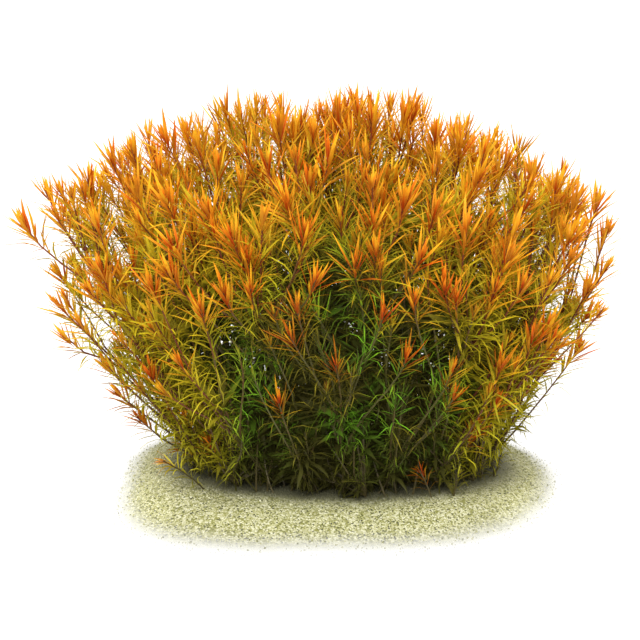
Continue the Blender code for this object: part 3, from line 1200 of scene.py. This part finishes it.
def leaf_measures(shoot, behind):
    """Length, width and bends of the leaves that sit this far back on a shoot."""
    count = len(behind)
    places = shoot.at(behind)
    tip_x, _, tip_z = shoot.points[-1]
    grown = grown_share(behind)
    old = ramp(behind, *OLD_RUN)
    low = ramp(places[:, 2], *LOW_HEIGHTS)
    top = ramp(tip_z, *TOP_HEIGHTS)
    rosette = ramp(behind, 0, 0.004) * np.exp(-((behind / ROSETTE_RUN) ** 2)) * (1 - 0.6 * low)
    size = blend(NEW_SIZE, 1.0, ramp(behind, -0.001, 0.007)) * blend(1.0, OLD_SIZE, old) * shoot.vigour
    size = size * blend(1.0, LOW_SIZE, low) * blend(LOW_SHOOT_SIZE, 1.0, top)
    size = size * blend(1.0, OUTER_SIZE, ramp(abs(tip_x), *OUTER_DISTANCES))
    slim = blend(SHADE_WIDTH, 1.0, ramp(light_at(places), 0, 0.625)) * blend(1.0, OLD_WIDTH, old)
    width = INNER_WIDTH if shoot.inner else (SLIM_WIDTH + shoot.petals * rosette) * slim
    droop = np.radians(-6 + 106 * ramp(behind, 0, 0.048) + 40 * low)
    young_run = blend(YOUNG_RUN_LOW, YOUNG_RUN_TOP, top)
    return {
        "bend": droop + draw.normal(0, 0.26, count) * (0.25 + grown),
        "length": LEAF_LENGTH * size * draw.uniform(0.76, 1.14, count),
        "width": LEAF_WIDTH * shoot.vigour * width * draw.uniform(0.75, 1.2, count),
        "sway": draw.normal(0, 0.05, count),
        "twist": draw.normal(0, 0.35, count) * (0.3 + grown),
        "fold": FOLD * draw.uniform(0.7, 1.3, count) * draw.choice([-1.0, 1.0], count),
        "youth": np.exp(-behind / young_run) * shoot.blush,
    }


def leaves_of(shoot):
    """The leaves of one shoot as arrays: place, directions, measures and the finish's numbers."""
    behind, spin = whorl_leaves(shoot)
    outward, ahead, face = leaf_directions(shoot, behind, spin)
    leaf = leaf_measures(shoot, behind)
    tone = np.clip(draw.uniform(-0.3, 1.0, len(behind)) + 0.3 * shoot.tint, 0, 1)
    # Inner twigs' leaves get a lower tone and so darker colours: painted shade.
    leaf["tone"] = tone * (INNER_SHADE_TONE if shoot.inner else 1.0)
    leaf["base"] = shoot.at(behind) + outward * shoot.tip_radius * 0.5
    leaf.update(ahead=ahead, face=face, behind=behind)
    return leaf


print("leaves are", LEAF_LENGTH * 1000, "mm long when they are fully grown")

# %% [markdown]
# ## A plant as one mesh
# A plant of a thousand leaves as a thousand objects would choke Blender. A `Heap` collects the
# vertices, the triangles and the numbers that the finishes read, then makes one mesh. Arrays go
# to Blender with foreach_set, because lists of faces would be far slower. The blades are shaded
# smooth, and edges sharper than a set angle stay crisp.

# %% Collecting a mesh
NUMBERS = ("youth", "light", "tone", "along", "across", "rim", "dry")


class Heap:
    """Vertices, triangles and their numbers, gathered for one mesh."""

    def __init__(self):
        self.vertices = []
        self.faces = []
        self.finish = []
        self.numbers = {name: [] for name in NUMBERS}
        self.count = 0

    def add(self, vertices, faces, finish, **numbers):
        self.vertices.append(vertices)
        self.faces.append(faces + self.count)
        self.finish.append(np.broadcast_to(finish, len(faces)))
        for name, store in self.numbers.items():
            store.append(np.broadcast_to(numbers.get(name, 0.0), len(vertices)))
        self.count += len(vertices)

    def to_object(self, name, materials, sharp):
        vertices = np.concatenate(self.vertices)
        faces = np.concatenate(self.faces)
        mesh = bpy.data.meshes.new(name)
        mesh.vertices.add(len(vertices))
        mesh.vertices.foreach_set("co", vertices.astype(np.float32).ravel())
        mesh.loops.add(faces.size)
        mesh.loops.foreach_set("vertex_index", faces.astype(np.int32).ravel())
        mesh.polygons.add(len(faces))
        mesh.polygons.foreach_set("loop_start", np.arange(0, faces.size, 3, dtype=np.int32))
        for material in materials:
            mesh.materials.append(material)
        mesh.polygons.foreach_set("material_index", np.concatenate(self.finish).astype(np.int32))
        for attribute, store in self.numbers.items():
            layer = mesh.attributes.new(attribute, "FLOAT", "POINT")
            layer.data.foreach_set("value", np.concatenate(store).astype(np.float32))
        mesh.update(calc_edges=True)
        mesh.validate()
        if sharp:
            mesh.shade_smooth()
            mesh.set_sharp_from_angle(angle=sharp)
        made = bpy.data.objects.new(name, mesh)
        bpy.context.scene.collection.objects.link(made)
        return made


print("each vertex carries", NUMBERS)

# %% [markdown]
# ## Stems as tubes
# A stem is round, a millimetre or two thick, and thickens from the tip to the root. A Blender
# curve with a bevel would make it too, but as its own object. Here its tube is a stack of rings
# round its line, in the same mesh as its leaves. Four sides are enough for something so thin.

# %% Stem tubes
STEM_SIDES = 4
TUBE_STEP = 0.0120
FEWEST_RINGS = 4
RED, GOLD, OLIVE, GREEN, STEM = range(len(LEAF_KINDS) + 1)


def tube(points, radii):
    """A closed tube: rings round the points, and a flat fan at each end."""
    ahead = unit(np.gradient(points, axis=0))
    side = unit(np.cross(ahead, STEM_HINT))
    other = np.cross(ahead, side)
    angle = np.linspace(0, 2 * math.pi, STEM_SIDES, endpoint=False)
    ring = side[:, None] * np.cos(angle)[None, :, None] + other[:, None] * np.sin(angle)[None, :, None]
    vertices = (points[:, None] + ring * radii[:, None, None]).reshape(-1, 3)
    last = len(vertices) - STEM_SIDES
    foot = [(0, corner + 1, corner) for corner in range(1, STEM_SIDES - 1)]
    cap = [(last, last + corner, last + corner + 1) for corner in range(1, STEM_SIDES - 1)]
    return vertices, np.concatenate([band_faces(len(points), STEM_SIDES), foot, cap])


def add_stem(heap, shoot, sunk):
    rings = max(int(shoot.length / TUBE_STEP), FEWEST_RINGS)
    behind = np.linspace(shoot.length, 0.0, rings)
    points = shoot.at(behind)
    if sunk:
        points = np.concatenate([[points[0] - shoot.direction(behind[:1])[0] * sunk], points])
        behind = np.concatenate([[shoot.length + sunk], behind])
    radii = blend(shoot.tip_radius, shoot.root_radius, ramp(behind, 0, shoot.length))
    vertices, faces = tube(points, radii)
    light = np.repeat(light_at(points), STEM_SIDES)
    heap.add(vertices, faces, STEM, light=light, tone=draw.uniform(0.1, 0.9))


print("a tube has", STEM_SIDES, "sides and a ring every", TUBE_STEP * 1000, "mm")

# %% [markdown]
# ## Leaves on a shoot
# Each leaf gets one of the four leaf finishes, by its youth where it is young and by its light
# where it is grown. It gets one of the three blades too: fine ones round the rosettes, where the
# eye rests, plain ones on lit shoots and rough ones inside. That keeps a bush of many thousand
# leaves under a million triangles. No leaf may hang into the sand, so its vertices are lifted.

# %% Leaves on a shoot
YOUNG_FROM = 0.30
RED_FROM = 0.42
OLIVE_FROM = 0.35
FINE_WITHIN = 0.019
FINE_VIGOUR = 0.92
PLAIN_WITHIN = 0.050
PLAIN_FROM = 0.32
LIFT_OFF_SAND = 0.0006


def leaf_finishes(leaf, light):
    young = np.where(leaf["youth"] * (1.3 - leaf["tone"]) > RED_FROM, RED, GOLD)
    return np.where(leaf["youth"] > YOUNG_FROM, young, np.where(light > OLIVE_FROM, OLIVE, GREEN))


def leaf_blades(shoot, behind, light):
    fine = (behind < FINE_WITHIN) & (shoot.vigour > FINE_VIGOUR)
    plain = (behind < PLAIN_WITHIN) & (light > PLAIN_FROM) & (not shoot.inner)
    return np.where(fine, "fine", np.where(plain, "plain", "rough"))


def add_leaves(heap, shoot):
    leaf = leaves_of(shoot)
    light = light_at(leaf["base"] + leaf["ahead"] * 0.01)
    finishes = leaf_finishes(leaf, light)
    kinds = leaf_blades(shoot, leaf["behind"], light)
    for kind in BLADES:
        chosen = kinds == kind
        if not chosen.any():
            continue
        batch = {name: values[chosen] for name, values in leaf.items()}
        vertices, faces, along, across, per_leaf = blades(kind, batch)
        numbers = {"youth": batch["youth"], "light": light[chosen], "tone": batch["tone"]}
        numbers = {name: np.repeat(values, per_leaf) for name, values in numbers.items()}
        finish = np.repeat(finishes[chosen], len(faces) // chosen.sum())
        ground = sand_height(vertices[:, 0], vertices[:, 1]) + LIFT_OFF_SAND
        vertices[:, 2] = np.maximum(vertices[:, 2], ground)
        heap.add(vertices, faces, finish, along=along, across=across, **numbers)
    return len(leaf["base"])


print("rosettes have fine blades up to", FINE_WITHIN * 1000, "mm from the tip")

# %% [markdown]
# ## Growing the plants
# Now each planted stem becomes a plant: the tube and the leaves of its main shoot, its side
# shoots and its twigs in one mesh. The plant takes the place of the plain solid of its stem. The
# main stem's foot is sunk a little into the sand. Plants that lean little have the orange tops,
# and those further out the gold and green sides. A colour slot is looked up from each plant's
# lean, but nothing uses it.

# %% Growing the plants
SHARP_EDGE = math.radians(66)
ROOT_SUNK = 0.005
SLOT_FROM_LEAN = (
    ("orange_leaves", math.radians(34)),
    ("gold_leaves", math.radians(62)),
    ("green_leaves", math.pi),
)


def grow(plant):
    heap = Heap()
    leaves = 0
    for order, shoot in enumerate(plant["shoots"]):
        add_stem(heap, shoot, ROOT_SUNK if order == 0 else 0.0)
        leaves += add_leaves(heap, shoot)
    name = f"rotala_{plant['number'] + 1:02d}"
    made = heap.to_object(name, [*LEAF_FINISHES, STEM_FINISH], SHARP_EDGE)
    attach(made, "root")
    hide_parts(f"leafy_stem_{plant['number'] + 1:02d}")
    next(slot for slot, limit in SLOT_FROM_LEAN if plant["lean"] < limit)
    return leaves, len(made.data.polygons)


totals = np.array([grow(plant) for plant in plants])
print("leaves", totals[:, 0].sum(), "triangles", totals[:, 1].sum(), "most in one", totals[:, 1].max())

# %% [markdown]
# ## The sand's finish
# The sand is coarse and pale: cream grains with olive ones and a few that are almost black. As
# real grains the whole bed would take millions of triangles, so a Voronoi pattern gives each grain
# of its surface a cell and a tone, and the distance to the cell's middle a round bump. Among the
# stems painted shade makes the sand dark, and at the bush's left and right painted light makes it
# bright. Towards its rim it turns clear, as the photo's sand fades into white.

# %% Sand finish
SAND_STOPS = (
    (0.00, (0.020, 0.022, 0.008)),
    (0.08, (0.070, 0.074, 0.018)),
    (0.20, (0.190, 0.192, 0.040)),
    (0.38, (0.300, 0.292, 0.115)),
    (0.66, (0.400, 0.392, 0.212)),
    (1.00, (0.560, 0.550, 0.385)),
)
SAND_CELL = 0.00080
GRAIN_GAPS = (0.625, 1.3194)
GAP_SAND = (0.33, 0.32, 0.18)
OLIVE_SAND = (0.170, 0.168, 0.030)
# The colour of the painted shade among the stems.
PAINTED_SHADE_SAND = (0.080, 0.078, 0.038)
# How much painted light brightens the sand at the bush's left and right.
PAINTED_SIDE_LIGHT_GAIN = 0.34
FLECK_SCALE = 330.0
FLECK_DETAIL = 4.0
SAND_BUMP_DEPTH = 0.0006


def sand_tone_colour(finish, tone):
    return finish.node("ShaderNodeValToRGB", {"stops": SAND_STOPS}, {"Fac": tone})


def sand_sockets(finish, tone, colour, roughness, fade):
    """What the bed and the loose grains share: painted shade among the stems, painted light at the sides,
    and fading in the same places.
    """
    # Painted shade darkens the sand among the stems.
    stem_shaded = finish.mix(finish.attribute("light"), PAINTED_SHADE_SAND, colour)
    return {
        # Painted light brightens the sand at the bush's left and right.
        "Base Color": finish.scaled(stem_shaded, finish.attribute("dry") * PAINTED_SIDE_LIGHT_GAIN + 1),
        "Roughness": tone * 0.3 + roughness,
        "Alpha": 1 - finish.attribute("rim") * fade,
    }


def sand_finish():
    finish = Finish("sand_bed_grain")
    cells = {"Vector": finish.place(), "Scale": 1 / SAND_CELL}
    tint = finish.node("ShaderNodeTexVoronoi", None, cells, output="Color")
    tone = finish.node("ShaderNodeSeparateColor", None, {"Color": tint})
    depth = finish.node("ShaderNodeTexVoronoi", None, cells, output="Distance")
    gaps = finish.mix(depth.ramp(*GRAIN_GAPS), sand_tone_colour(finish, tone), GAP_SAND)
    flecks = finish.noise(FLECK_SCALE, FLECK_DETAIL).ramp(0.55, 0.70) * 0.85
    surface = sand_sockets(finish, tone, finish.mix(flecks, gaps, OLIVE_SAND), 0.6, 1.0)
    surface["Normal"] = finish.bump(1 - depth, SAND_BUMP_DEPTH, 0.9)
    return finish.done(finish.node("ShaderNodeBsdfPrincipled", None, surface))


SAND_FINISH = sand_finish()
print("the sand's finish:", SAND_FINISH.name, "with cells of", SAND_CELL * 1000, "mm")

# %% [markdown]
# ## The loose grains' finish
# The grains that lie on the bed are real geometry, so their shape needs no bump. Each has one tone
# of the same sand, with pale specks painted on as glints of light on its facets.

# %% Grain finish
GRAIN_GLINT = (0.62, 0.60, 0.38)
GLINT_SCALE = 1500.0
GRAIN_FADE = 0.9


def grain_finish():
    finish = Finish("loose_grain")
    tone = finish.attribute("tone")
    # Pale specks at random: a painted highlight.
    glints = finish.noise(GLINT_SCALE).ramp(0.35, 0.8) * 0.35
    colour = finish.mix(glints, sand_tone_colour(finish, tone), GRAIN_GLINT)
    surface = sand_sockets(finish, tone, colour, 0.5, GRAIN_FADE)
    return finish.done(finish.node("ShaderNodeBsdfPrincipled", None, surface))


GRAIN_FINISH = grain_finish()
print("the grains' finish:", GRAIN_FINISH.name)

# %% [markdown]
# ## The lie of the sand
# The sand is a low mound: level where the stems stand, then a long soft slope to a thin hem, which
# spreads a little past the solid's edge as an apron. Slow waves keep it from looking poured. The
# height and the finish's numbers are functions of a place, so that the bed and the grains on it
# agree: `rim` says where the sand fades, `light` where it is clear of the painted shade among the
# stems, and the last number how far to the left or right of them it lies, where painted light
# brightens it.

# %% The lie of the sand
BED_APRON = 0.05
BED_HEM = 0.0005
SLOPE_FROM = 0.70
SETTLE_RUN = 0.125
RIPPLE = 0.0007
RIM_SHARES = (0.89, 1.05)
FRONT_FADE = 0.05
# Where the painted shade among the stems fades out.
STEM_SHADE_SHARES = (0.98, 1.28)
# Where the painted light at the bush's left and right comes in.
PAINTED_SIDE_LIGHT_SHARES = (0.62, 0.90)


def ripple(x, y):
    first = np.sin(x * 96 + 1.3) * np.cos(y * 81 + 0.4)
    second = np.sin(x * 57 - y * 133 + 2.2)
    third = np.sin(x * 171 + y * 64)
    return (first + second + third) * RIPPLE / 3


def mound_height(x, y, share):
    """How high the visible sand stands: level in the middle, then a long soft slope to a thin hem."""
    slope = ramp(share, SLOPE_FROM, 1 + BED_APRON)
    settle = ramp(1 + BED_APRON - share, 0, SETTLE_RUN)
    return blend(BED_THICKNESS, BED_HEM, slope) + ripple(x, y) * settle


def sand_numbers(x, y):
    """The finish's numbers for places on the sand, each from 0 to 1."""
    in_front = np.maximum(-y / BED_HALF_DEPTH, 0)
    from_stems = np.hypot(x / PATCH_HALF_WIDTH, y / PATCH_HALF_DEPTH)
    sideways = np.abs(x - BED_CENTRE_X) / BED_HALF_WIDTH
    return {
        "rim": ramp(bed_share(x, y) + FRONT_FADE * in_front, *RIM_SHARES),
        # 0 among the stems, where the sand gets painted shade, and 1 clear of it.
        "light": ramp(from_stems, *STEM_SHADE_SHARES),
        # How far to the left or right of the stems the sand lies, where painted light brightens it.
        "dry": ramp(sideways, *PAINTED_SIDE_LIGHT_SHARES),
    }


print("the sand slopes down over", round((1 + BED_APRON - SLOPE_FROM) * BED_HALF_WIDTH, 3), "m")

# %% [markdown]
# ## The bed of sand
# The visible bed is a skin over the solid one. A displaced grid would have to be cut along the
# outline, so this mesh is made of rings that follow it, closer together towards the edge, with a
# small random pit or bump at each vertex. Its underside is flat.

# %% Sand bed
BED_RINGS = 40
BED_SECTORS = 200
RING_POWER = 0.8
PITTING = 0.00022
BED_SHARP_EDGE = math.radians(50)


def bed_rings():
    shares = np.linspace(0, 1, BED_RINGS + 1)[1:] ** RING_POWER * (1 + BED_APRON)
    angle = np.linspace(0, 2 * math.pi, BED_SECTORS, endpoint=False)
    share, turn = np.meshgrid(shares, angle, indexing="ij")
    x, y = bed_place(share, turn)
    pits = draw.uniform(-PITTING, PITTING, x.shape)
    return np.stack([x, y, mound_height(x, y, share) + pits], axis=-1)


def add_bed():
    rings = bed_rings()
    foot = rings[-1:] * [1, 1, 0]
    middle = np.array([BED_CENTRE_X, BED_CENTRE_Y, 0.0])
    vertices = np.concatenate([*rings, *foot, [middle + UP * BED_THICKNESS, middle]])
    turn = np.arange(BED_SECTORS)
    following = (turn + 1) % BED_SECTORS
    base = BED_RINGS * BED_SECTORS
    peak = np.full_like(turn, len(vertices) - 2)
    faces = np.concatenate([
        band_faces(BED_RINGS + 1, BED_SECTORS)[:, ::-1],
        np.stack([turn, following, peak], axis=-1),
        np.stack([base + following, base + turn, peak + 1], axis=-1),
    ])
    heap = Heap()
    heap.add(vertices, faces, 0, **sand_numbers(vertices[:, 0], vertices[:, 1]))
    made = heap.to_object("sand_bed_surface", [SAND_FINISH], BED_SHARP_EDGE)
    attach(made, "root")
    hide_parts("sand_bed")
    return len(faces)


print("bed of", add_bed(), "triangles")

# %% [markdown]
# ## Loose grains
# On the bed lie thousands of angular grains, and some have rolled past its edge, so the outline
# frays instead of ending in a line. A particle system could scatter copies of one grain, but here
# each has a shape and a tone of its own: an octahedron with its corners pushed about, turned at
# random. All of them are one mesh.

# %% Loose grains
GRAINS = 5150
GRAIN_SIZES = (0.00032, 0.00068)
GRAIN_SUNK = 0.25
STRAYED_SHARE = 0.10
STRAY_REACH = 0.07
STRAY_LIFT = 0.72
OCTAHEDRON = np.array([[1, 0, 0], [-1, 0, 0], [0, 1, 0], [0, -1, 0], [0, 0, 1], [0, 0, -1]], dtype=float)
OCTAHEDRON_FACES = np.array([
    [0, 2, 4], [2, 1, 4], [1, 3, 4], [3, 0, 4], [2, 0, 5], [1, 2, 5], [3, 1, 5], [0, 3, 5],
])
CORNERS = len(OCTAHEDRON)


def turned(shapes):
    """Each shape turned at random."""
    w, x, y, z = unit(draw.normal(0, 1, (len(shapes), 4))).T
    rows = np.array([
        [1 - 2 * (y * y + z * z), 2 * (x * y - z * w), 2 * (x * z + y * w)],
        [2 * (x * y + z * w), 1 - 2 * (x * x + z * z), 2 * (y * z - x * w)],
        [2 * (x * z - y * w), 2 * (y * z + x * w), 1 - 2 * (x * x + y * y)],
    ])
    return np.einsum("ijn,nkj->nki", rows, shapes)


def grain_places():
    """The share of the way out, the x and the y of each grain."""
    share = np.sqrt(draw.random(GRAINS))
    strayed = draw.random(GRAINS) < STRAYED_SHARE
    share = np.where(strayed, 1.0 + STRAY_REACH * draw.random(GRAINS) ** 2, share)
    return share, *bed_place(share, draw.uniform(0, 2 * math.pi, GRAINS))


def grain_shapes(size):
    corners = draw.uniform(0.7, 1.25, (GRAINS, CORNERS, 1))
    stretch = draw.uniform(0.7, 1.2, (GRAINS, 1, 3))
    return turned(OCTAHEDRON[None] * corners * stretch) * size[:, None, None]


def add_grains():
    share, x, y = grain_places()
    size = draw.uniform(*GRAIN_SIZES, GRAINS) * draw.uniform(0.8, 1.25, GRAINS)
    on_bed = share < 1 + BED_APRON
    ground = np.where(on_bed, mound_height(x, y, share), 0.0)
    height = ground + size * np.where(on_bed, GRAIN_SUNK, STRAY_LIFT)
    vertices = grain_shapes(size) + np.stack([x, y, height], axis=-1)[:, None]
    vertices[..., 2] = np.maximum(vertices[..., 2], 0.0)
    faces = OCTAHEDRON_FACES[None] + (np.arange(GRAINS) * CORNERS)[:, None, None]
    numbers = {"tone": draw.random(GRAINS), **sand_numbers(x, y)}
    numbers = {name: np.repeat(values, CORNERS) for name, values in numbers.items()}
    heap = Heap()
    heap.add(vertices.reshape(-1, 3), faces.reshape(-1, 3), 0, **numbers)
    made = heap.to_object("loose_grains", [GRAIN_FINISH], None)
    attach(made, "root")
    return len(made.data.polygons)


print("loose grains of", add_grains(), "triangles")

# %% [markdown]
